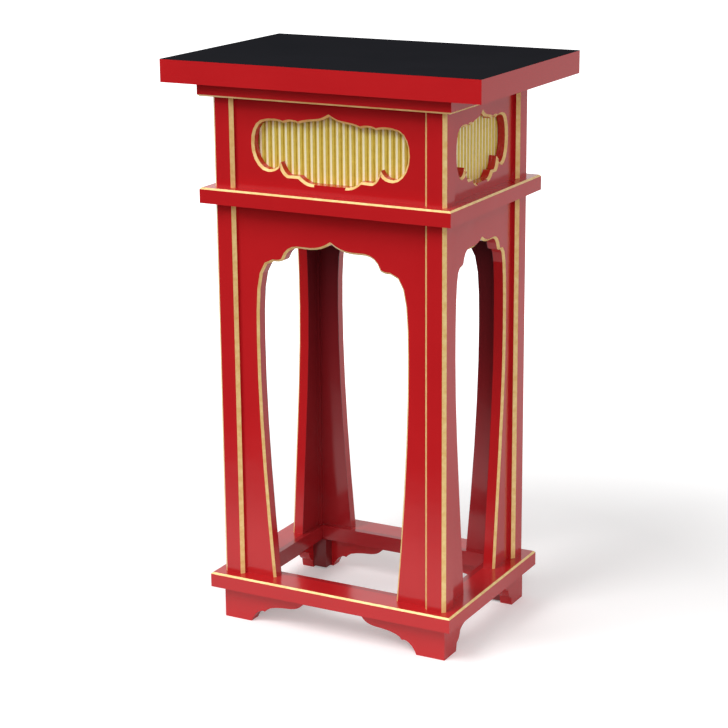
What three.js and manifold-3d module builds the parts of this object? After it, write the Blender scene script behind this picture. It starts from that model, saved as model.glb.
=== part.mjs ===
// A lacquered wooden stand for an incense burner, in millimetres.
// The front faces -Y, +Z is up and the feet stand on Z = 0.
// A small cabinet with a wide top board, four square posts, a cartouche panel over gilt reeds on
// each side, a projecting waist board, tall arched panels, a base frame and scalloped feet.
import * as THREE from 'three';
import { mergeVertices } from 'three/addons/utils/BufferGeometryUtils.js';
import Module from 'manifold-3d';

const wasm = await Module();
wasm.setup();

// Driving dimensions
const TOP_OVERHANG_ENDS = 48; // the top stands out this far past the posts at the two ends
const TOP_OVERHANG_FACES = 21.5; // and at the front and back
const TOP_THICK = 24;
const TOP_RAIL = 26; // width of the mitred edging round the top panel
const CARCASS_WIDTH = 268; // over the post faces, left to right
const CARCASS_DEPTH = 199; // over the post faces, front to back
const BOARD_OVERHANG = 11; // waist and base boards stand out this far past the posts
const BOARD_THICK = 16.5;
const UNDER_THICK = 13.5; // moulding board below the top
const UNDER_OVERHANG = 10.5;
const BOARD_BEVEL = 1.8; // gilded bevel along the board edges
const RAIL_WIDTH = 37; // width of the mitred rails of every board
const UPPER_HEIGHT = 95; // between the waist board and the moulding board
const LOWER_HEIGHT = 411; // between the base board and the waist board
const FOOT_HEIGHT = 36.5;

const POST = 24; // square post
const POST_BEVEL = 3.5; // gilded bevel on three edges of each post
const TENON = 11; // square stub tenon
const TENON_LENGTH = 7;
const FIT = 0.3; // clearance of tenons and tongues in their cuts

const PANEL_RECESS = 6.5; // panel face behind the post face
const CARTOUCHE_PANEL_THICK = 10.5;
const ARCH_PANEL_THICK = 13.5;
const TONGUE_DEPTH = 4; // panel edges run this far into the posts
const TONGUE_THICK = 6;
const TONGUE_SET = 2; // tongue face behind the panel face
const EDGE_BEVEL = 2.4; // gilded bevel round the openings

const ARCH_HEAD = 34; // panel left over the peak of the arch
// The arches of the wide and of the narrow sides. margin: panel left beside the arch. flare: how
// far the legs spread again at the foot. swell: how much of the flare is kept a little higher up.
// shoulder, cusp: how far these lie under the peak. cuspAt: the cusp's place, over the half width.
const WIDE_ARCH = { margin: 22.5, flare: 14, swell: 0.29, shoulder: 8, cusp: 22, cuspAt: 0.645 };
const NARROW_ARCH = { margin: 16, flare: 22, swell: 0.5, shoulder: 5.5, cusp: 18.5, cuspAt: 0.71 };

const WIDE_CARTOUCHE_MARGIN = 21; // panel left beside the cartouche
const NARROW_CARTOUCHE_MARGIN = 16;
const CARTOUCHE_LOW = 10; // panel left under the cartouche
const CARTOUCHE_HEAD = 14.5; // and over its peak
const CARTOUCHE_FLOOR = 0.2; // part of the bottom edge left plain, over the whole width

const REED_PITCH = 7.5;
const REED_PROUD = 3.2;
const REED_BACKING = 5;
const REED_GAP = 0.3; // reed crests behind the panel
const REED_END = 0.5; // clearance at the ends of a reed board

const APRON_THICK = 14;
const FOOT_WIDTH = 33; // length of a foot along the front, at the floor
const FOOT_DEPTH_WIDTH = 28; // the same along the sides
const APRON_WEB = 5.5; // wood left over the cut under the front apron
const APRON_SIDE_WEB = 10.5;
const FOOT_BLOCK = 17; // square glue block in each foot
const BLOCK_LIFT = 2; // block underside over the floor

const CURVE_STEPS = 5; // straight steps to one stretch of curve
const REED_STEPS = 5;

// Heights that follow from them
const BASE_Z = FOOT_HEIGHT;
const LOWER_Z = BASE_Z + BOARD_THICK;
const WAIST_Z = LOWER_Z + LOWER_HEIGHT;
const UPPER_Z = WAIST_Z + BOARD_THICK;
const UNDER_Z = UPPER_Z + UPPER_HEIGHT;
const TOP_Z = UNDER_Z + UNDER_THICK;

// The four sides: a piece is made facing -Y, then turned about +Z
const SIDES = [
  { name: 'front', turn: 0, along: 'width' },
  { name: 'right', turn: Math.PI / 2, along: 'depth' },
  { name: 'back', turn: Math.PI, along: 'width' },
  { name: 'left', turn: -Math.PI / 2, along: 'depth' },
];
const CORNERS = [
  { name: 'front_left', x: -1, y: -1 },
  { name: 'front_right', x: 1, y: -1 },
  { name: 'back_right', x: 1, y: 1 },
  { name: 'back_left', x: -1, y: 1 },
];

// Finishes
const red = new THREE.MeshStandardMaterial({ color: 0xb4202a, roughness: 0.22, metalness: 0 });
const darkRed = new THREE.MeshStandardMaterial({ color: 0x7a2226, roughness: 0.35, metalness: 0 });
const black = new THREE.MeshStandardMaterial({ color: 0x1a1a1c, roughness: 0.15, metalness: 0 });
const gold = new THREE.MeshStandardMaterial({ color: 0xd2b45c, roughness: 0.35, metalness: 0.9 });

const stand = new THREE.Group();

function place(name, geometry, material, turn = 0) {
  const mesh = new THREE.Mesh(geometry, material.clone());
  mesh.name = name;
  mesh.rotation.z = turn;
  stand.add(mesh);
}

// A closed geometry as a solid, with its faces turned outwards
function toSolid(geometry) {
  const bare = new THREE.BufferGeometry();
  bare.setAttribute('position', geometry.getAttribute('position'));
  if (geometry.index) bare.setIndex(geometry.index);
  const merged = mergeVertices(bare, 1e-4);
  const points = merged.getAttribute('position');
  const index = Array.from(merged.index.array);
  const a = new THREE.Vector3();
  const b = new THREE.Vector3();
  const c = new THREE.Vector3();
  const triangles = [];
  let volume = 0;
  for (let i = 0; i < index.length; i += 3) {
    const [p, q, r] = [index[i], index[i + 1], index[i + 2]];
    if (p === q || q === r || r === p) continue;
    a.fromBufferAttribute(points, p);
    b.fromBufferAttribute(points, q);
    c.fromBufferAttribute(points, r);
    volume += a.dot(b.cross(c));
    triangles.push(p, q, r);
  }
  if (volume < 0) triangles.reverse();
  const mesh = new wasm.Mesh({
    numProp: 3,
    vertProperties: new Float32Array(points.array),
    triVerts: new Uint32Array(triangles),
  });
  return new wasm.Manifold(mesh);
}

function toGeometry(solid) {
  const mesh = solid.getMesh();
  const geometry = new THREE.BufferGeometry();
  geometry.setAttribute('position', new THREE.BufferAttribute(mesh.vertProperties, 3));
  geometry.setIndex(new THREE.BufferAttribute(mesh.triVerts, 1));
  geometry.computeVertexNormals();
  return geometry;
}

// A box from its low and high corners
function box(low, high) {
  const size = high.map((value, i) => value - low[i]);
  const geometry = new THREE.BoxGeometry(...size);
  geometry.translate(...low.map((value, i) => value + size[i] / 2));
  return toSolid(geometry);
}

// An (x, z) outline carried along +Y from one depth to another; bevel swells its middle
function slab(points, from, to, bevel = 0) {
  const geometry = new THREE.ExtrudeGeometry(new THREE.Shape(points), {
    depth: to - from - 2 * bevel,
    bevelEnabled: bevel > 0,
    bevelSize: bevel,
    bevelThickness: bevel,
    bevelSegments: 1,
  });
  geometry.translate(0, 0, bevel);
  geometry.rotateX(Math.PI / 2);
  geometry.scale(1, -1, 1);
  geometry.translate(0, from, 0);
  return toSolid(geometry);
}

// A plan outline carried up from one height to another
function column(points, low, high) {
  const geometry = new THREE.ExtrudeGeometry(new THREE.Shape(points), {
    depth: high - low,
    bevelEnabled: false,
  });
  geometry.translate(0, 0, low);
  return toSolid(geometry);
}

// A rail along the front of a frame, mitred at both ends. Its section is given as
// (depth in from the outer face, height) points.
function mitredRail(section, length, reach) {
  const geometry = new THREE.ExtrudeGeometry(new THREE.Shape(section), {
    depth: 1,
    bevelEnabled: false,
  });
  const points = geometry.getAttribute('position');
  for (let i = 0; i < points.count; i++) {
    const inward = points.getX(i);
    const height = points.getY(i);
    const end = points.getZ(i) > 0.5 ? 1 : -1;
    points.setXYZ(i, end * (length / 2 - inward), inward - reach, height);
  }
  return toSolid(geometry);
}

const vec = (x, y) => new THREE.Vector2(x, y);

// Both halves of an outline from its right half, which starts and ends on the centre line or
// starts at the right foot
function mirrored(half) {
  const left = half
    .filter((point) => Math.abs(point.x) > 1e-6)
    .map((point) => vec(-point.x, point.y))
    .reverse();
  return [...half, ...left];
}

// Points of a chain of cubic curves: a start, then rows of two handles and an end
function chain(start, rows) {
  const points = [start];
  let last = start;
  for (const [h1x, h1y, h2x, h2y, x, y] of rows) {
    const curve = new THREE.CubicBezierCurve(last, vec(h1x, h1y), vec(h2x, h2y), vec(x, y));
    points.push(...curve.getPoints(CURVE_STEPS).slice(1));
    last = vec(x, y);
  }
  return points;
}

const lengthOf = (side) => (side.along === 'width' ? CARCASS_WIDTH : CARCASS_DEPTH);
const reachOf = (side) => (side.along === 'width' ? CARCASS_DEPTH : CARCASS_WIDTH) / 2;

// A mortise box for the tenon of each post, in one side's own frame
function mortises(length, reach, low, high) {
  const half = TENON / 2 + FIT;
  const inset = POST / 2;
  return [-1, 1].map((end) => {
    const x = end * (length / 2 - inset);
    const y = inset - reach;
    return box([x - half, y - half, low], [x + half, y + half, high]);
  });
}

// A board frame of four mitred rails. Its bevel runs along the upper or lower outer edge.
function boardFrame(name, z, thick, overhangX, overhangY, bevelUp, tenonsBelow, tenonsAbove) {
  const b = BOARD_BEVEL;
  const section = bevelUp
    ? [vec(0, z), vec(RAIL_WIDTH, z), vec(RAIL_WIDTH, z + thick), vec(b, z + thick),
      vec(0, z + thick - b)]
    : [vec(b, z), vec(RAIL_WIDTH, z), vec(RAIL_WIDTH, z + thick), vec(0, z + thick),
      vec(0, z + b)];
  for (const side of SIDES) {
    const wide = side.along === 'width';
    const endOver = wide ? overhangX : overhangY;
    const faceOver = wide ? overhangY : overhangX;
    const length = lengthOf(side);
    const reach = reachOf(side);
    let rail = mitredRail(section, length + 2 * endOver, reach + faceOver);
    const cut = TENON_LENGTH + FIT;
    if (tenonsBelow) {
      for (const hole of mortises(length, reach, z - 1, z + cut)) rail = rail.subtract(hole);
    }
    if (tenonsAbove) {
      for (const hole of mortises(length, reach, z + thick - cut, z + thick + 1)) {
        rail = rail.subtract(hole);
      }
    }
    place(`${name}_rail_${side.name}`, toGeometry(rail), red, side.turn);
  }
}

// A square post with bevels on its outer edge and on the two edges beside the panels, and a
// groove in each inner side for a panel's tongue
function postOutline() {
  const b = POST_BEVEL;
  const g0 = PANEL_RECESS + TONGUE_SET - FIT / 2;
  const g1 = g0 + TONGUE_THICK + FIT;
  const d = POST - TONGUE_DEPTH - FIT;
  return [
    vec(b, 0), vec(POST - b, 0), vec(POST, b), vec(POST, g0), vec(d, g0), vec(d, g1),
    vec(POST, g1), vec(POST, POST), vec(g1, POST), vec(g1, d), vec(g0, d), vec(g0, POST),
    vec(b, POST), vec(0, POST - b), vec(0, b),
  ];
}

function posts(name, low, high) {
  for (const corner of CORNERS) {
    const at = (p) => vec(
      corner.x * (CARCASS_WIDTH / 2 - p.x), corner.y * (CARCASS_DEPTH / 2 - p.y));
    const half = TENON / 2;
    const centre = at(vec(POST / 2, POST / 2));
    const body = column(postOutline().map(at), low, high);
    const tenon = box(
      [centre.x - half, centre.y - half, low - TENON_LENGTH],
      [centre.x + half, centre.y + half, high + TENON_LENGTH]);
    place(`${name}_post_${corner.name}`, toGeometry(body.add(tenon)), red);
  }
}

// A panel between two posts, with a tongue along each upright edge
function plainPanel(length, reach, thick, low, high) {
  const half = length / 2 - POST;
  const face = PANEL_RECESS - reach;
  const tongueFace = face + TONGUE_SET;
  const body = box([-half, face, low], [half, face + thick, high]);
  const tongue = box(
    [-half - TONGUE_DEPTH, tongueFace, low],
    [half + TONGUE_DEPTH, tongueFace + TONGUE_THICK, high]);
  return body.add(tongue);
}

// Cuts an outline through a panel, with a bevel round its front edge
function cutOpening(panel, outline, face, thick, plainCut) {
  const through = slab(outline, face - 2, face + thick + 2);
  let bevel = slab(outline, face - 3 * EDGE_BEVEL, face + EDGE_BEVEL, EDGE_BEVEL);
  if (plainCut) bevel = bevel.subtract(plainCut);
  return panel.subtract(through).subtract(bevel);
}

// Half of the arch, from under the foot of the leg to the peak. w is the half width at the
// widest place, z0 the height of the panel's foot and r the rise from there to the peak.
function archHalf(w, z0, r, form) {
  const z = (up) => z0 + up;
  const foot = w - form.flare;
  const c = form.cuspAt;
  const shoulder = r - form.shoulder;
  return chain(vec(foot - 2, z(-20)), [
    [foot - 1, z(-10), foot, z(-4), foot, z(0)],
    [w - form.flare * form.swell, z(r * 0.3), w, z(r * 0.52), w, z(r * 0.7)],
    [w, z(r - 52), w * 0.97, z(r - form.cusp - 4), w * (c + 0.135), z(r - form.cusp - 2.5)],
    [w * (c + 0.085), z(r - form.cusp - 3), w * (c + 0.025), z(r - form.cusp - 2),
      w * c, z(r - form.cusp)],
    [w * (c - 0.055), z(shoulder - 1), w * (c - 0.145), z(shoulder + 0.5),
      w * (c - 0.265), z(shoulder)],
    [w * 0.2, z(shoulder - 1), w * 0.1, z(shoulder + 2), 0, z(r)],
  ]);
}

// Half of the cartouche, from the middle of its bottom edge to its peak
function cartoucheHalf(w, z0, rise) {
  const z = (part) => z0 + part * rise;
  return chain(vec(0, z(0)), [
    [w * 0.07, z(0), w * 0.14, z(0), w * 0.2, z(0)],
    [w * 0.28, z(-0.005), w * 0.32, z(0.02), w * 0.4, z(0.1)],
    [w * 0.45, z(0.107), w * 0.5, z(0.095), w * 0.55, z(0.1)],
    [w * 0.6, z(0.13), w * 0.625, z(0.2), w * 0.65, z(0.285)],
    [w * 0.68, z(0.2), w * 0.73, z(0.165), w * 0.81, z(0.165)],
    [w * 0.91, z(0.175), w, z(0.33), w, z(0.53)],
    [w, z(0.73), w * 0.94, z(0.865), w * 0.82, z(0.873)],
    [w * 0.74, z(0.89), w * 0.66, z(0.885), w * 0.6, z(0.859)],
    [w * 0.54, z(0.896), w * 0.46, z(0.896), w * 0.4, z(0.865)],
    [w * 0.32, z(0.91), w * 0.2, z(0.913), w * 0.13, z(0.93)],
    [w * 0.08, z(0.944), w * 0.04, z(0.972), 0, z(1)],
  ]);
}

function upperPanel(side) {
  const length = lengthOf(side);
  const reach = reachOf(side);
  const face = PANEL_RECESS - reach;
  const margin = side.along === 'width' ? WIDE_CARTOUCHE_MARGIN : NARROW_CARTOUCHE_MARGIN;
  const w = length / 2 - POST - margin;
  const low = UPPER_Z + CARTOUCHE_LOW;
  const outline = mirrored(cartoucheHalf(w, low, UPPER_HEIGHT - CARTOUCHE_LOW - CARTOUCHE_HEAD));
  const plain = CARTOUCHE_FLOOR * w;
  const plainCut = box(
    [-plain, face - 4 * EDGE_BEVEL, low - 2 * EDGE_BEVEL],
    [plain, face + 2 * EDGE_BEVEL, low + EDGE_BEVEL]);
  const thick = CARTOUCHE_PANEL_THICK;
  const panel = plainPanel(length, reach, thick, UPPER_Z, UNDER_Z);
  place(`upper_panel_${side.name}`, toGeometry(cutOpening(panel, outline, face, thick, plainCut)),
    red, side.turn);
}

function archPanel(side) {
  const length = lengthOf(side);
  const reach = reachOf(side);
  const face = PANEL_RECESS - reach;
  const form = side.along === 'width' ? WIDE_ARCH : NARROW_ARCH;
  const w = length / 2 - POST - form.margin;
  const outline = mirrored(archHalf(w, LOWER_Z, LOWER_HEIGHT - ARCH_HEAD, form));
  const thick = ARCH_PANEL_THICK;
  const panel = plainPanel(length, reach, thick, LOWER_Z, WAIST_Z);
  place(`arch_panel_${side.name}`, toGeometry(cutOpening(panel, outline, face, thick)),
    red, side.turn);
}

// A board carved with upright half-round reeds, standing close behind a cartouche panel
function reedBoard(side) {
  const reach = reachOf(side);
  const front = PANEL_RECESS + CARTOUCHE_PANEL_THICK + REED_GAP;
  const crest = front - reach;
  const stock = REED_PROUD + REED_BACKING;
  const width = lengthOf(side) - 2 * Math.max(front + stock, POST) - 2 * REED_END;
  const count = Math.floor(width / REED_PITCH);
  const half = (count * REED_PITCH) / 2;
  const points = [vec(half, crest + stock), vec(-half, crest + stock)];
  for (let reed = 0; reed < count; reed++) {
    const left = -half + reed * REED_PITCH;
    for (let step = 0; step <= REED_STEPS; step++) {
      if (step === 0 && reed > 0) continue;
      const angle = (Math.PI * step) / REED_STEPS;
      const x = left + (REED_PITCH / 2) * (1 - Math.cos(angle));
      points.push(vec(x, crest + REED_PROUD - REED_PROUD * Math.sin(angle)));
    }
  }
  place(`reed_board_${side.name}`, toGeometry(column(points, UPPER_Z, UNDER_Z)), gold, side.turn);
}

// Half of the cut under an apron, from below the foot to the centre line. f is the distance from
// the centre line to the foot and rise the height of the cut.
function apronHalf(f, rise) {
  return chain(vec(f + 1, -5), [
    [f, -2, f, -1, f, 0],
    [f - 2, 5, f - 5, 11, f - 12, rise * 0.45],
    [f - 15, rise * 0.47, f - 16, rise * 0.46, f - 17, rise * 0.44],
    [f - 20, rise * 0.62, f - 30, rise * 0.7, f - 50, rise * 0.74],
    [f - 58, rise * 0.78, f - 62, rise * 0.86, f - 65, rise],
  ]).concat([vec(0, rise)]);
}

function apronSideHalf(f, rise) {
  return chain(vec(f + 1, -5), [
    [f, -2, f, -1, f, 0],
    [f - 1, 4, f - 1.5, 7, f - 2, rise * 0.36],
    [f - 7, rise * 0.42, f - 9, rise * 0.6, f - 10, rise * 0.78],
    [f - 13, rise * 0.86, f - 16, rise * 0.96, f - 24, rise],
  ]).concat([vec(0, rise)]);
}

function apron(side) {
  const length = lengthOf(side);
  const reach = reachOf(side);
  const section = [vec(0, 0), vec(APRON_THICK, 0), vec(APRON_THICK, BASE_Z), vec(0, BASE_Z)];
  const half = side.along === 'width'
    ? apronHalf(length / 2 - FOOT_WIDTH, FOOT_HEIGHT - APRON_WEB)
    : apronSideHalf(length / 2 - FOOT_DEPTH_WIDTH, FOOT_HEIGHT - APRON_SIDE_WEB);
  const cut = slab(mirrored(half), -reach - 2, -reach + APRON_THICK + 2);
  const board = mitredRail(section, length, reach).subtract(cut);
  place(`apron_${side.name}`, toGeometry(board), red, side.turn);
}

function footBlocks() {
  for (const corner of CORNERS) {
    const x0 = corner.x * (CARCASS_WIDTH / 2 - APRON_THICK);
    const y0 = corner.y * (CARCASS_DEPTH / 2 - APRON_THICK);
    const x1 = x0 - corner.x * FOOT_BLOCK;
    const y1 = y0 - corner.y * FOOT_BLOCK * 0.8;
    const block = box(
      [Math.min(x0, x1), Math.min(y0, y1), BLOCK_LIFT],
      [Math.max(x0, x1), Math.max(y0, y1), BASE_Z]);
    place(`foot_block_${corner.name}`, toGeometry(block), darkRed);
  }
}

function topBoard() {
  const high = TOP_Z + TOP_THICK;
  const section = [vec(0, TOP_Z), vec(TOP_RAIL, TOP_Z), vec(TOP_RAIL, high), vec(0, high)];
  for (const side of SIDES) {
    const wide = side.along === 'width';
    const endOver = wide ? TOP_OVERHANG_ENDS : TOP_OVERHANG_FACES;
    const faceOver = wide ? TOP_OVERHANG_FACES : TOP_OVERHANG_ENDS;
    const rail = mitredRail(section, lengthOf(side) + 2 * endOver, reachOf(side) + faceOver);
    place(`top_edge_${side.name}`, toGeometry(rail), red, side.turn);
  }
  const x = CARCASS_WIDTH / 2 + TOP_OVERHANG_ENDS - TOP_RAIL;
  const y = CARCASS_DEPTH / 2 + TOP_OVERHANG_FACES - TOP_RAIL;
  place('top_panel', toGeometry(box([-x, -y, TOP_Z], [x, y, high])), black);
}

function waistPanel() {
  const x = CARCASS_WIDTH / 2 + BOARD_OVERHANG - RAIL_WIDTH;
  const y = CARCASS_DEPTH / 2 + BOARD_OVERHANG - RAIL_WIDTH;
  place('waist_panel', toGeometry(box([-x, -y, WAIST_Z], [x, y, UPPER_Z])), darkRed);
}

topBoard();
boardFrame('moulding', UNDER_Z, UNDER_THICK, BOARD_OVERHANG, UNDER_OVERHANG, false, true, false);
posts('upper', UPPER_Z, UNDER_Z);
boardFrame('waist', WAIST_Z, BOARD_THICK, BOARD_OVERHANG, BOARD_OVERHANG, true, true, true);
waistPanel();
posts('lower', LOWER_Z, WAIST_Z);
boardFrame('base', BASE_Z, BOARD_THICK, BOARD_OVERHANG, BOARD_OVERHANG, true, false, true);
for (const side of SIDES) {
  upperPanel(side);
  reedBoard(side);
  archPanel(side);
  apron(side);
}
footBlocks();

export default stand;
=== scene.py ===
# %% [markdown]
# # A lacquered incense stand
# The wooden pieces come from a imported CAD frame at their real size. This lesson gives them their
# finish: vermilion lacquer, satin black lacquer, and gold leaf on every bevel and on the reeds.

# %% Load the frame
import math

import bpy
import numpy as np
from mathutils import Matrix, Vector


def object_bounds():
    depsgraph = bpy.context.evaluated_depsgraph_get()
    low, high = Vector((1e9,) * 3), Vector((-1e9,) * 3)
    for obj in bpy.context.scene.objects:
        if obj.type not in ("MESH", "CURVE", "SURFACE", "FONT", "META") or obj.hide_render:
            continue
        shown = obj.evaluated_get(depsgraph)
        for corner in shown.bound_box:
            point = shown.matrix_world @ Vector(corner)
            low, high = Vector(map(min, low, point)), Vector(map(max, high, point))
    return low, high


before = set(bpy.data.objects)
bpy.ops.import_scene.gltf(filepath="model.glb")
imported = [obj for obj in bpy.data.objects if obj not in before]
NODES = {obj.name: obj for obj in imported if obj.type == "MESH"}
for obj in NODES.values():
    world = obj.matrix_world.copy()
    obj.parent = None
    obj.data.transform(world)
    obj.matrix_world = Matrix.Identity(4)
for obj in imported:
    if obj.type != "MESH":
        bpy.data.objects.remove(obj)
cad_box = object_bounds()
LOW, HIGH = (np.array(corner) for corner in cad_box)
TOP_FACE = float(HIGH[2])
print(f"{len(NODES)} wooden pieces, {1000 * (HIGH - LOW)} mm overall")

# %% [markdown]
# ## Helpers for shader nodes
# A material is a graph of nodes. A few small helpers keep the graph readable: a node with its
# values set, a sum, a mix, a noise, and a named group, which is an effect for several finishes.

# %% Node helpers
FLOAT, COLOUR, VECTOR = "NodeSocketFloat", "NodeSocketColor", "NodeSocketVector"
MIX_SOCKETS = {"RGBA": (0, 6, 7, 2), "FLOAT": (0, 2, 3, 0)}  # factor, a, b and the result


def node(tree, kind, inputs=None, **settings):
    """A new node of a kind, with its settings and its unlinked input values."""
    made = tree.nodes.new(kind)
    for name, value in settings.items():
        setattr(made, name, value)
    for name, value in (inputs or {}).items():
        made.inputs[name].default_value = value
    return made


def feed(tree, value, socket):
    """Link a socket's value into another socket, or set it there if it is a plain value."""
    if isinstance(value, bpy.types.NodeSocket):
        tree.links.new(value, socket)
    else:
        socket.default_value = value


def math_node(tree, operation, a, b=None, clamp=False):
    """The result of a Math node whose inputs are numbers or sockets."""
    made = node(tree, "ShaderNodeMath", operation=operation, use_clamp=clamp)
    feed(tree, a, made.inputs[0])
    if b is not None:
        feed(tree, b, made.inputs[1])
    return made.outputs[0]


def mix(tree, factor, a, b, kind="RGBA"):
    """The result of a Mix node: a where the factor is 0, b where it is 1."""
    made = node(tree, "ShaderNodeMix", data_type=kind)
    *slots, result = MIX_SOCKETS[kind]
    for slot, value in zip(slots, (factor, a, b)):
        feed(tree, value, made.inputs[slot])
    return made.outputs[result]


def coordinates(tree, output="Object"):
    """The place in Object coordinates, or the Normal output of the same node."""
    return node(tree, "ShaderNodeTexCoord").outputs[output]


def axes_of(tree, vector):
    """The X, Y and Z outputs of a vector."""
    parts = node(tree, "ShaderNodeSeparateXYZ")
    tree.links.new(vector, parts.inputs[0])
    return parts.outputs


def noise(tree, place, scale, **values):
    """A noise pattern over a place, from 0 to 1, with a scale that is a number or a socket."""
    made = node(tree, "ShaderNodeTexNoise", values)
    tree.links.new(place, made.inputs["Vector"])
    feed(tree, scale, made.inputs["Scale"])
    return made.outputs["Fac"]


def group(name, inputs, outputs):
    """An empty group from rows of (name, kind, default); with its inner ends to link from."""
    tree = bpy.data.node_groups.new(name, "ShaderNodeTree")
    for title, kind, default in inputs:
        socket = tree.interface.new_socket(title, in_out="INPUT", socket_type=kind)
        socket.default_value = default
    for title, kind in outputs:
        tree.interface.new_socket(title, in_out="OUTPUT", socket_type=kind)
    return tree, tree.nodes.new("NodeGroupInput").outputs, tree.nodes.new("NodeGroupOutput").inputs


def placed(tree, effect, **values):
    """The outputs of a group placed in a material, with its own values."""
    return node(tree, "ShaderNodeGroup", values, node_tree=effect).outputs


print("helpers ready")

# %% [markdown]
# ## Colours
# A shader takes linear light, but a colour is easier to think of as the 0 to 255 values of a
# screen. One function turns the second into the first, and every colour below is written with it.

# %% Colour helper


def srgb(red, green, blue):
    """Linear = value / 12.92 below a small step, else ((value + 0.055) / 1.055) to the 2.4."""
    values = np.array((red, green, blue)) / 255
    linear = np.where(values <= 0.04045, values / 12.92, ((values + 0.055) / 1.055) ** 2.4)
    return (*linear.tolist(), 1.0)


def grey(value):
    """A grey that is already linear."""
    return (value, value, value, 1.0)


print("mid grey of a screen, in linear light:", round(srgb(128, 128, 128)[0], 3))

# %% [markdown]
# ## A mask for the bevels
# On the real stand only the bevelled edges are gilded. A bevel is a face that leans half way
# between two directions, so its normal says where the leaf goes: no painting is needed. The mask
# is one where the part of the normal along a chosen axis is near the sine of 45 degrees. The
# lobes of an opening lean too, but only within their panel, so each panel measures along the
# axis that it faces, and its plain cut edges stay red.

# %% Bevel mask group
BEVEL_LOW, BEVEL_HIGH = 0.35, 0.93


def make_bevel_mask():
    """Mask = 1 where low < |normal . axis| < high, with the normal of the flat face itself."""
    tree, start, end = group("bevel_mask", [("Axis", VECTOR, (0.0, 0.0, 1.0))], [("Mask", FLOAT)])
    dot = node(tree, "ShaderNodeVectorMath", operation="DOT_PRODUCT")
    tree.links.new(node(tree, "ShaderNodeNewGeometry").outputs["True Normal"], dot.inputs[0])
    tree.links.new(start["Axis"], dot.inputs[1])
    lean = math_node(tree, "ABSOLUTE", dot.outputs["Value"])
    above = math_node(tree, "GREATER_THAN", lean, BEVEL_LOW)
    below = math_node(tree, "LESS_THAN", lean, BEVEL_HIGH)
    tree.links.new(math_node(tree, "MULTIPLY", above, below), end["Mask"])
    return tree


bevel_mask = make_bevel_mask()
print("bevel mask ready")

# %% [markdown]
# ## Hand-rubbed lacquer
# Lacquer is brushed on in many coats and polished. Its colour drifts a little over a board, and
# its surface is never quite flat: long shallow waves bend the reflections. One group makes both
# from noise at three sizes, in metres, so that every board shares the same scale.

# %% Lacquer group
WAVE_SCALE, MARK_SCALE = 26.0, 900.0  # shallow waves and fine polishing marks
MARK_SHARE = 0.02  # height of the marks beside that of the waves
DULL_SPREAD = 0.12  # how far the roughness wanders with the colour


def make_lacquer_film():
    """Colour = deep to plain by a slow drift; height = waves plus a small share of marks."""
    tree, start, end = group(
        "lacquer_film",
        [("Colour", COLOUR, grey(0.5)), ("Deep", COLOUR, grey(0.3)),
         ("Drift Size", FLOAT, 9.0), ("Roughness", FLOAT, 0.2)],
        [("Colour", COLOUR), ("Roughness", FLOAT), ("Height", FLOAT)])
    place = coordinates(tree)
    drift = noise(tree, place, start["Drift Size"], Detail=3.0, Roughness=0.55)
    waves = noise(tree, place, WAVE_SCALE, Detail=2.0)
    marks = noise(tree, place, MARK_SCALE, Detail=2.0)
    tree.links.new(mix(tree, drift, start["Deep"], start["Colour"]), end["Colour"])
    smear = math_node(tree, "MULTIPLY", math_node(tree, "SUBTRACT", drift, 0.5), DULL_SPREAD)
    tree.links.new(
        math_node(tree, "ADD", start["Roughness"], smear, clamp=True), end["Roughness"])
    height = math_node(tree, "ADD", waves, math_node(tree, "MULTIPLY", marks, MARK_SHARE))
    tree.links.new(height, end["Height"])
    return tree


lacquer_film = make_lacquer_film()
print("lacquer film ready")

# %% [markdown]
# ## Painted shade on the inner faces
# Inside the arches the faces are painted darker than outside: painted shade, laid by place. A mask
# is one inside the box that the panels close in, and grows from the base board up to the waist,
# where the painted shade is darkest.

# %% Inner painted shade group
INNER_HALF = (0.1145, 0.0805)  # half the space between the panels, along X and Y
INNER_LOW, INNER_HIGH = 0.02, 0.44
INNER_LEAST = 0.35  # the mask at the lower height


def make_inner_shade_mask():
    """Painted shade mask = 1 where |x| and |y| are inside the panels, scaled by the height."""
    tree, _, end = group("inner_shade_mask", [], [("Mask", FLOAT)])
    parts = axes_of(tree, coordinates(tree))
    within = [math_node(tree, "LESS_THAN", math_node(tree, "ABSOLUTE", parts[axis]), half)
              for axis, half in zip("XY", INNER_HALF)]
    growth = node(tree, "ShaderNodeMapRange", {
        "From Min": INNER_LOW, "From Max": INNER_HIGH, "To Min": INNER_LEAST, "To Max": 1.0})
    tree.links.new(parts["Z"], growth.inputs["Value"])
    inside = math_node(tree, "MULTIPLY", *within)
    tree.links.new(math_node(tree, "MULTIPLY", inside, growth.outputs[0]), end["Mask"])
    return tree


inner_shade_mask = make_inner_shade_mask()
print("inner mask ready")

# %% [markdown]
# ## Gold leaf
# Leaf is laid over lacquer in small squares and rubbed down. It is bright but not a mirror, and
# it varies from pale to brownish where it is thin. A group gives that colour and its roughness.

# %% Gold leaf group
PALE_GOLD = srgb(255, 234, 168)
DEEP_GOLD = srgb(212, 154, 60)
CRINKLE_SCALE = 600.0
LEAF_ROUGHNESS, LEAF_SPREAD = 0.28, 0.15


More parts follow.
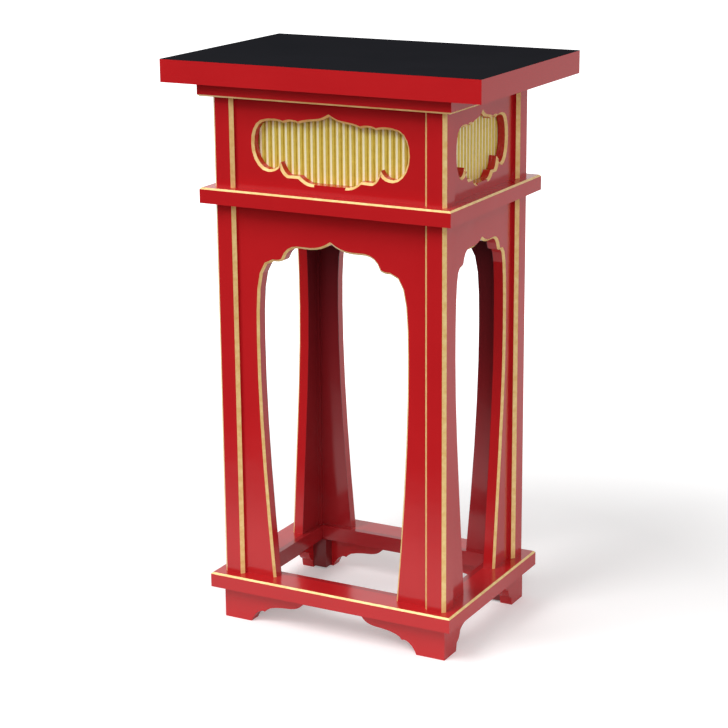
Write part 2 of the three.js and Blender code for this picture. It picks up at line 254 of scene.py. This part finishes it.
def make_gold_leaf():
    """Colour = deep to pale by a patchy noise; the roughness rises with the same noise."""
    tree, start, end = group(
        "gold_leaf",
        [("Pale", COLOUR, PALE_GOLD), ("Deep", COLOUR, DEEP_GOLD), ("Patch Size", FLOAT, 160.0)],
        [("Colour", COLOUR), ("Roughness", FLOAT), ("Height", FLOAT)])
    place = coordinates(tree)
    patches = noise(tree, place, start["Patch Size"], Detail=4.0, Roughness=0.6)
    crinkle = noise(tree, place, CRINKLE_SCALE, Detail=3.0)
    tree.links.new(mix(tree, patches, start["Deep"], start["Pale"]), end["Colour"])
    spread = math_node(tree, "MULTIPLY", patches, LEAF_SPREAD)
    tree.links.new(math_node(tree, "ADD", spread, LEAF_ROUGHNESS), end["Roughness"])
    tree.links.new(crinkle, end["Height"])
    return tree


gold_leaf = make_gold_leaf()
print("gold leaf ready")

# %% [markdown]
# ## Plain lacquer
# The aprons, the glue blocks, the waist panel and the black top have one colour each. The darker
# red of the glue blocks and the waist panel is painted shade, for pieces that sit in shade. The
# black is rubbed to a satin that mirrors almost nothing, so its shine is set to none on the
# shader's own socket, and its darkness comes from the colour.

# %% Lacquer materials
RED, RED_DEEP = srgb(192, 30, 34), srgb(176, 24, 29)
# The inner red is painted shade for the faces inside the arches.
INNER_SHADE_RED = srgb(88, 26, 32)
# The shade red is painted shade for the waist panel and the glue blocks, which sit in shade.
SHADE_RED, SHADE_RED_DEEP = srgb(128, 34, 36), srgb(96, 24, 28)
BLACK, BLACK_DEEP = srgb(34, 34, 38), srgb(26, 27, 30)
POLISHED, DULL, SATIN = 0.16, 0.3, 0.25  # roughness
FULL_SHINE, NO_SHINE = 0.5, 0.0  # specular level
LACQUER_BUMP = 0.0004  # height of the waves, in metres


def principled(name):
    """A new node material and its Principled shader."""
    material = bpy.data.materials.new(name)
    material.use_nodes = True
    return material, material.node_tree, material.node_tree.nodes["Principled BSDF"]


def film_on(tree, colour, deep, roughness):
    """The outputs of the lacquer group placed in a material."""
    return placed(tree, lacquer_film, Colour=colour, Deep=deep, Roughness=roughness)


def bump_into(tree, shader, height, distance):
    """A Bump node that feeds the shader's normal from a height in metres."""
    bump = node(tree, "ShaderNodeBump", {"Strength": 1.0, "Distance": distance})
    tree.links.new(height, bump.inputs["Height"])
    tree.links.new(bump.outputs["Normal"], shader.inputs["Normal"])


def lacquer(name, colour, deep, roughness, shine=FULL_SHINE):
    """Plain lacquer, for the pieces with no gilded edge."""
    material, tree, shader = principled(name)
    film = film_on(tree, colour, deep, roughness)
    shader.inputs["Specular IOR Level"].default_value = shine
    tree.links.new(film["Colour"], shader.inputs["Base Color"])
    tree.links.new(film["Roughness"], shader.inputs["Roughness"])
    bump_into(tree, shader, film["Height"], LACQUER_BUMP)
    return material


finishes = {
    "plain": lacquer("red_plain", RED, RED_DEEP, POLISHED),
    "shade": lacquer("painted_shade_red", SHADE_RED, SHADE_RED_DEEP, DULL),
    "black": lacquer("black_top", BLACK, BLACK_DEEP, SATIN, NO_SHINE),
}
print("plain finishes:", ", ".join(finishes))

# %% [markdown]
# ## Gilded lacquer
# Lacquer and leaf meet in the same material, and the bevel mask chooses between them, so a board
# keeps one material and its gilded edge stays sharp. Boards lean from the Z axis, posts from the
# X axis, and a panel from the axis that it faces.

# %% Gilded materials
X_AXIS, Y_AXIS, Z_AXIS = (1.0, 0.0, 0.0), (0.0, 1.0, 0.0), (0.0, 0.0, 1.0)
BEVEL_METAL = 0.08  # leaf on the bevels is thin and matt


def gilded_lacquer(name, axis):
    """Red lacquer with painted shade inside the arches, and gold leaf on the faces that lean half
    way from the axis.
    """
    material, tree, shader = principled(name)
    film = film_on(tree, RED, RED_DEEP, POLISHED)
    leaf = placed(tree, gold_leaf)
    gilded = placed(tree, bevel_mask, Axis=axis)["Mask"]
    # Painted shade: inside the arches the red darkens towards the inner red.
    inner = placed(tree, inner_shade_mask)["Mask"]
    red = mix(tree, inner, film["Colour"], INNER_SHADE_RED)
    tree.links.new(mix(tree, gilded, red, leaf["Colour"]), shader.inputs["Base Color"])
    tree.links.new(
        mix(tree, gilded, film["Roughness"], leaf["Roughness"], "FLOAT"),
        shader.inputs["Roughness"])
    tree.links.new(
        math_node(tree, "MULTIPLY", gilded, BEVEL_METAL), shader.inputs["Metallic"])
    bump_into(tree, shader, film["Height"], LACQUER_BUMP)
    return material


finishes["board"] = gilded_lacquer("red_board", Z_AXIS)
finishes["post"] = gilded_lacquer("red_post", X_AXIS)
finishes["front_panel"] = gilded_lacquer("red_front_panel", Y_AXIS)
finishes["side_panel"] = gilded_lacquer("red_side_panel", X_AXIS)
print("gilded finishes: board, post, front_panel, side_panel")

# %% [markdown]
# ## Gilt reeds
# The carved reeds are gilded all over. Their crests get a pale painted highlight in place of the
# shine along each reed, and a crest is where the face looks straight out of its board, so its
# normal lies along X or along Y.

# %% Reed material
REED_PALE, REED_DEEP = srgb(238, 216, 100), srgb(198, 170, 60)
REED_CREST_HIGHLIGHT = srgb(255, 246, 204)
REED_METAL = 0.1
CREST_FROM = 0.97  # a normal this straight belongs to a crest
LEAF_BUMP = 0.00004


def gilt_reeds(name):
    """Leaf all over, with a painted highlight where the larger of |normal x| and |normal y| is
    near 1.
    """
    material, tree, shader = principled(name)
    leaf = placed(tree, gold_leaf, Pale=REED_PALE, Deep=REED_DEEP)
    facing = axes_of(tree, coordinates(tree, "Normal"))
    straight = math_node(tree, "MAXIMUM", *(
        math_node(tree, "ABSOLUTE", facing[axis]) for axis in "XY"))
    crest_highlight = math_node(tree, "GREATER_THAN", straight, CREST_FROM)
    # Painted highlight: the crests take a paler colour in place of shine.
    tree.links.new(mix(tree, crest_highlight, leaf["Colour"], REED_CREST_HIGHLIGHT), shader.inputs["Base Color"])
    tree.links.new(leaf["Roughness"], shader.inputs["Roughness"])
    shader.inputs["Metallic"].default_value = REED_METAL
    bump_into(tree, shader, leaf["Height"], LEAF_BUMP)
    return material


finishes["reeds"] = gilt_reeds("gilt_reeds")
print("reed finish ready")

# %% [markdown]
# ## The top's edge
# The edge rails are red outside, but the black of the top runs over them to the very edge. A step
# on the height in Object coordinates, a hair under the top face, puts the border on the arris.
# The red shines through a clear coat, which the satin black lacks, so the coat's weight carries
# the difference and the shader's own shine is off.

# %% Top edge material
PAINT_EDGE = 0.0003


def two_tone_edge(name):
    """Satin black above the paint edge's height, red under a clear coat below it."""
    material, tree, shader = principled(name)
    red = film_on(tree, RED, RED_DEEP, POLISHED)
    black = film_on(tree, BLACK, BLACK_DEEP, SATIN)
    height = axes_of(tree, coordinates(tree))["Z"]
    above = math_node(tree, "GREATER_THAN", height, TOP_FACE - PAINT_EDGE)
    tree.links.new(mix(tree, above, red["Colour"], black["Colour"]), shader.inputs["Base Color"])
    tree.links.new(red["Roughness"], shader.inputs["Roughness"])
    shader.inputs["Specular IOR Level"].default_value = NO_SHINE
    shader.inputs["Coat Roughness"].default_value = POLISHED
    tree.links.new(math_node(tree, "SUBTRACT", 1.0, above), shader.inputs["Coat Weight"])
    bump_into(tree, shader, red["Height"], LACQUER_BUMP)
    return material


finishes["top_edge"] = two_tone_edge("top_edge")
print("top edge finish ready")

# %% [markdown]
# ## Dress the frame
# The CAD shapes are right, so they stay, and each gets its finish through its material slot. The
# start of a piece's name says which finish it takes, and the first row that fits counts.

# %% Assign finishes
FINISH_OF = [
    ("top_panel", "black"), ("top_edge", "top_edge"), ("reed_board", "reeds"),
    ("waist_panel", "shade"), ("foot_block", "shade"), ("apron", "plain"),
    ("upper_post", "post"), ("lower_post", "post"),
    ("upper_panel_front", "front_panel"), ("upper_panel_back", "front_panel"),
    ("arch_panel_front", "front_panel"), ("arch_panel_back", "front_panel"),
    ("upper_panel", "side_panel"), ("arch_panel", "side_panel"),
    ("moulding", "board"), ("waist", "board"), ("base", "board"),
]
for name, piece in NODES.items():
    finish = next(finish for start, finish in FINISH_OF if name.startswith(start))
    if not piece.material_slots:
        piece.data.materials.append(None)
    for slot in piece.material_slots:
        slot.material = finishes[finish]
print(f"{len(NODES)} pieces dressed")

# %% [markdown]
# ## The sheet
# The stand is on a plain white sheet. The camera sees only white and the soft shadow round the
# feet: the sheet shines a little near the stand and more far away, fully to the camera and
# weakly in reflections. The lacquer of the front mirrors the floor far in front, so there the
# floor turns dark for every ray but the camera's. That keeps the front a deep red, while the
# side face, which mirrors the white sheet, is paler.

# %% Floor
FLOOR_SIZE = 24.0
SHEET_EDGE, DARK_FROM = -0.30, -0.62  # the sheet fades out between these places along Y
SHEET, ROOM_FLOOR = grey(0.86), grey(0.02)
FLOOR_ROUGHNESS = 0.9
NEAR, FAR = 0.4, 1.3  # distances from the stand's middle
NEAR_LIFT, FAR_LIFT = 0.24, 0.9  # light that makes the sheet pure white there
MIRROR_PART = 0.2  # how much of that light the lacquer mirrors


def make_floor_material():
    """Colour = sheet or dark room by the place along Y; light = a rise with the distance."""
    material, tree, shader = principled("white_floor")
    rays = node(tree, "ShaderNodeLightPath").outputs
    place = coordinates(tree)
    fade = node(tree, "ShaderNodeMapRange", {"From Min": DARK_FROM, "From Max": SHEET_EDGE})
    tree.links.new(axes_of(tree, place)["Y"], fade.inputs["Value"])
    on_sheet = fade.outputs[0]
    pale = math_node(tree, "MAXIMUM", on_sheet, rays["Is Camera Ray"])
    tree.links.new(mix(tree, pale, ROOM_FLOOR, SHEET), shader.inputs["Base Color"])
    away = node(tree, "ShaderNodeVectorMath", operation="LENGTH")
    tree.links.new(place, away.inputs[0])
    lift = node(tree, "ShaderNodeMapRange", {
        "From Min": NEAR, "From Max": FAR, "To Min": NEAR_LIFT, "To Max": FAR_LIFT})
    tree.links.new(away.outputs["Value"], lift.inputs["Value"])
    mirrored = math_node(tree, "MULTIPLY", rays["Is Glossy Ray"], MIRROR_PART)
    mirrored = math_node(tree, "MULTIPLY", mirrored, on_sheet)
    shows = math_node(tree, "MAXIMUM", rays["Is Camera Ray"], mirrored)
    tree.links.new(
        math_node(tree, "MULTIPLY", shows, lift.outputs[0]), shader.inputs["Emission Strength"])
    shader.inputs["Emission Color"].default_value = grey(1.0)
    shader.inputs["Roughness"].default_value = FLOOR_ROUGHNESS
    shader.inputs["Specular IOR Level"].default_value = NO_SHINE
    return material


bpy.ops.mesh.primitive_plane_add(size=FLOOR_SIZE)
floor = bpy.context.object
floor.name = "floor"
floor.data.materials.append(make_floor_material())
print("floor laid")

# %% [markdown]
# ## The sky
# An even white world fills every shade with soft light. To the camera and in reflections it
# shines at full white, and it lights the stand with only a part of that.

# %% World
SKY_LIGHT = 0.55

world = bpy.context.scene.world or bpy.data.worlds.new("studio")
bpy.context.scene.world = world
world.use_nodes = True
sky_tree = world.node_tree
sky = sky_tree.nodes["Background"]
sky.inputs["Color"].default_value = grey(1.0)
sky_rays = node(sky_tree, "ShaderNodeLightPath").outputs
seen = math_node(sky_tree, "MAXIMUM", sky_rays["Is Camera Ray"], sky_rays["Is Glossy Ray"])
more = math_node(sky_tree, "MULTIPLY", seen, 1 - SKY_LIGHT)
sky_tree.links.new(math_node(sky_tree, "ADD", more, SKY_LIGHT), sky.inputs["Strength"])
print("sky set")

# %% [markdown]
# ## Light
# A big soft lamp high in front on the left gives the front its even tone. A smaller one on the
# right brightens the bevels that turn away from the first.

# %% Lamps
AIM = Vector((0.0, 0.0, TOP_FACE / 2))


def soft_lamp(name, place, size, watts):
    """A square area lamp at a place, aimed at the middle of the stand."""
    data = bpy.data.lights.new(name, "AREA")
    data.size = size
    data.energy = watts
    lamp = bpy.data.objects.new(name, data)
    bpy.context.scene.collection.objects.link(lamp)
    lamp.location = place
    lamp.rotation_euler = (AIM - Vector(place)).to_track_quat("-Z", "Y").to_euler()


soft_lamp("key_lamp", (-0.9, -1.9, 2.8), size=1.8, watts=77)
soft_lamp("fill_lamp", (1.5, -2.2, 1.4), size=1.4, watts=19)
print("lamps set")

# %% [markdown]
# ## Camera
# The camera's place comes from the stand itself: its turn round the stand, its height, its
# distance and its angle of view were measured from the straight edges in the photograph.

# %% Camera
AZIMUTH, ELEVATION, ROLL = 28.31, 15.79, -0.49  # degrees
DISTANCE = 2.2321
TARGET = Vector((-0.01198, 0.0, 0.27861))
FOCAL_PIXELS, FRAME_PIXELS = 2064.5, 728
SENSOR = 36.0
NEAREST, FARTHEST = 0.1, 50.0

az, el, roll = (math.radians(angle) for angle in (AZIMUTH, ELEVATION, ROLL))
forward = -Vector((math.sin(az) * math.cos(el), -math.cos(az) * math.cos(el), math.sin(el)))
level = forward.cross(Vector((0, 0, 1))).normalized()
upright = level.cross(forward)
right = math.cos(roll) * level + math.sin(roll) * upright
up = math.cos(roll) * upright - math.sin(roll) * level

lens = bpy.data.cameras.new("camera")
lens.sensor_width = SENSOR
lens.lens = SENSOR * FOCAL_PIXELS / FRAME_PIXELS
lens.clip_start, lens.clip_end = NEAREST, FARTHEST
camera = bpy.data.objects.new("camera", lens)
bpy.context.scene.collection.objects.link(camera)
turn = Matrix((right, up, -forward)).transposed()
camera.matrix_world = Matrix.Translation(TARGET - forward * DISTANCE) @ turn.to_4x4()
bpy.context.scene.camera = camera
bpy.context.scene.view_settings.view_transform = "Standard"
print(f"lens {lens.lens:.1f} mm")

# %% [markdown]
# ## Finish
# The finish adds nothing outside the wood.

# %% Finish
print("scene ready")
